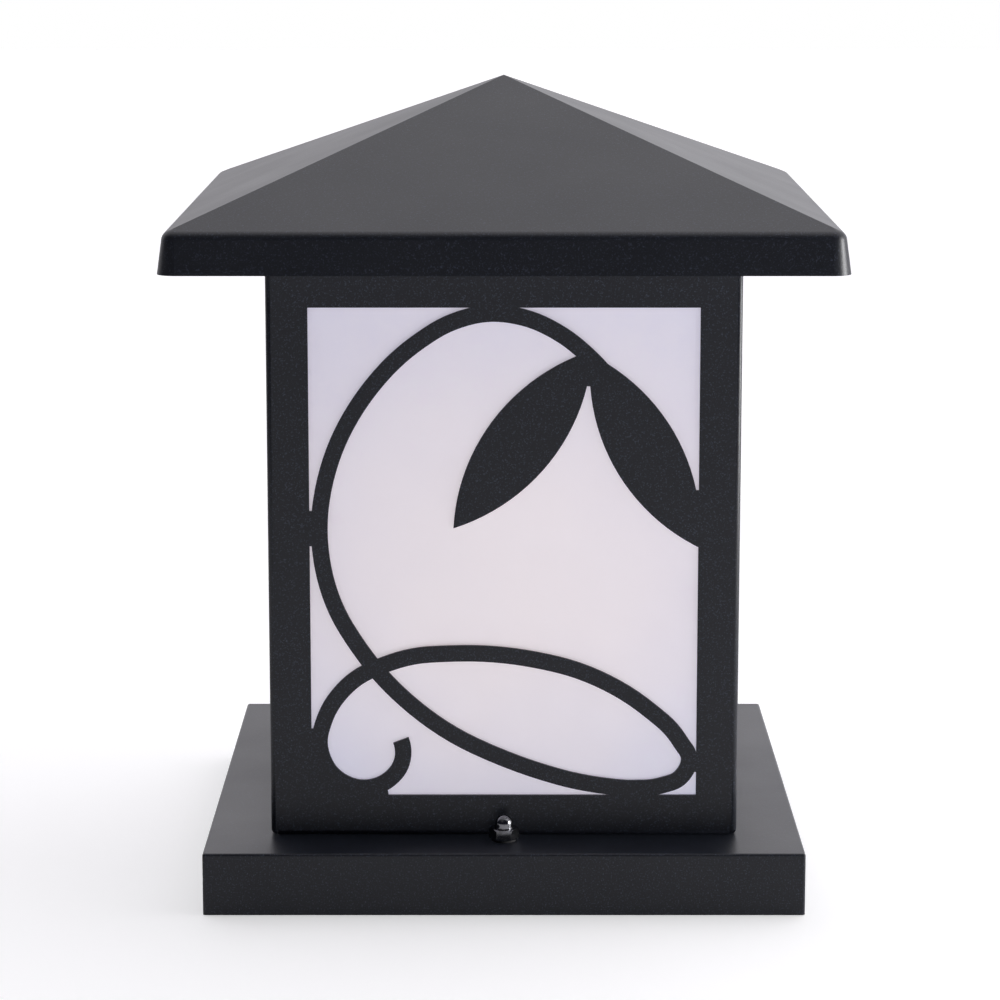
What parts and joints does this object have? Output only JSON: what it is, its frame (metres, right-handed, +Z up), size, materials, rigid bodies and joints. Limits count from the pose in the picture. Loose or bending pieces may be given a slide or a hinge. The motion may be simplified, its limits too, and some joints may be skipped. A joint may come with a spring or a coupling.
{
  "type": "deck post cap light",
  "caption": "Square post cap lantern: folded base pan, laser-cut vine panels over opal panes, pyramid roof; cover lifts off its strap and lampholder.",
  "frame": {"origin": "centre of the base pan's lower rim, on top of the post", "axes": "+Z up through the roof's apex, -Y to the front panel, +X to the right seen from the front"},
  "size_m": [0.253, 0.253, 0.31],
  "materials": {
    "powder_coat": "charcoal powder coat, satin, fine orange peel",
    "opal_acrylic": "opal acrylic, satin, lit from inside",
    "galvanised_steel": "zinc-plated sheet, faint spangle",
    "zinc_fastener": "zinc-plated",
    "black_nickel": "black nickel plate, glossy",
    "seal_rubber": "matt",
    "porcelain": "glazed",
    "brass_contact": "rolled brass",
    "block_plastic": "moulded",
    "bulb_insulation": "vitreous black",
    "cap_aluminium": "rolled",
    "frosted_glass": "frosted inside"
  },
  "bodies": {
    "base": {"mounting_strap": "galvanised_steel", "cover_studs": "zinc_fastener", "lampholder_bracket": "galvanised_steel", "bracket_screws": "zinc_fastener", "lampholder_body": "porcelain", "holder_terminals": "brass_contact", "holder_terminal_screws": "zinc_fastener", "holder_sleeve": "brass_contact", "centre_contact": "brass_contact", "holder_screws": "zinc_fastener", "holder_nuts": "zinc_fastener", "terminal_block": "block_plastic", "terminal_inserts": "brass_contact", "terminal_clamp_screws": "zinc_fastener", "terminal_block_screws": "zinc_fastener", "earth_screw": "brass_contact", "earth_washer": "brass_contact", "cable_grommet": "seal_rubber"},
    "cover": {"base_pan": "powder_coat", "roof_cap": "powder_coat", "roof_soffit": "galvanised_steel", "roof_screws": "zinc_fastener", "roof_nuts": "zinc_fastener", "body_screws": "zinc_fastener", "body_nuts": "zinc_fastener", "front_panel": "powder_coat", "right_panel": "powder_coat", "back_panel": "powder_coat", "left_panel": "powder_coat", "front_pane": "opal_acrylic", "right_pane": "opal_acrylic", "back_pane": "opal_acrylic", "left_pane": "opal_acrylic", "corner_angle_front_right": "galvanised_steel", "corner_angle_back_right": "galvanised_steel", "corner_angle_back_left": "galvanised_steel", "corner_angle_front_left": "galvanised_steel"},
    "front_washer": {"front_washer": "seal_rubber"},
    "front_nut": {"front_cap_nut": "black_nickel"},
    "back_washer": {"back_washer": "seal_rubber"},
    "back_nut": {"back_cap_nut": "black_nickel"},
    "lamp_contact": {"bulb_tip": "brass_contact"},
    "lamp": {"bulb_insulator": "bulb_insulation", "bulb_cap": "cap_aluminium", "bulb_glass": "frosted_glass"}
  },
  "joints": [
    {"name": "cover_lift", "type": "slide", "parent": "base", "child": "cover", "axis": [0, 0, 1], "range_m": [0, 0.16]},
    {"name": "front_washer_lift", "type": "slide", "parent": "cover", "child": "front_washer", "axis": [0, 0, 1], "range_m": [0, 0.004]},
    {"name": "front_nut_turn", "type": "hinge", "parent": "front_washer", "child": "front_nut", "pos_m": [0, -0.0954, 0.029], "axis": [0, 0, 1], "range_deg": [0, 1800]},
    {"name": "back_washer_lift", "type": "slide", "parent": "cover", "child": "back_washer", "axis": [0, 0, 1], "range_m": [0, 0.004]},
    {"name": "back_nut_turn", "type": "hinge", "parent": "back_washer", "child": "back_nut", "pos_m": [0, 0.0954, 0.029], "axis": [0, 0, 1], "range_deg": [0, 1800]},
    {"name": "lamp_rise", "type": "slide", "parent": "base", "child": "lamp_contact", "axis": [0, 0, 1], "range_m": [0, 0.01452]},
    {"name": "lamp_turn", "type": "hinge", "parent": "lamp_contact", "child": "lamp", "pos_m": [0, 0, 0.06], "axis": [0, 0, 1], "range_deg": [0, 1440]}
  ],
  "couplings": [
    {"joint": "front_nut_turn", "follows": "front_washer_lift", "rad_per_m": 7854},
    {"joint": "back_nut_turn", "follows": "back_washer_lift", "rad_per_m": 7854},
    {"joint": "lamp_turn", "follows": "lamp_rise", "rad_per_m": 1731.4}
  ]
}
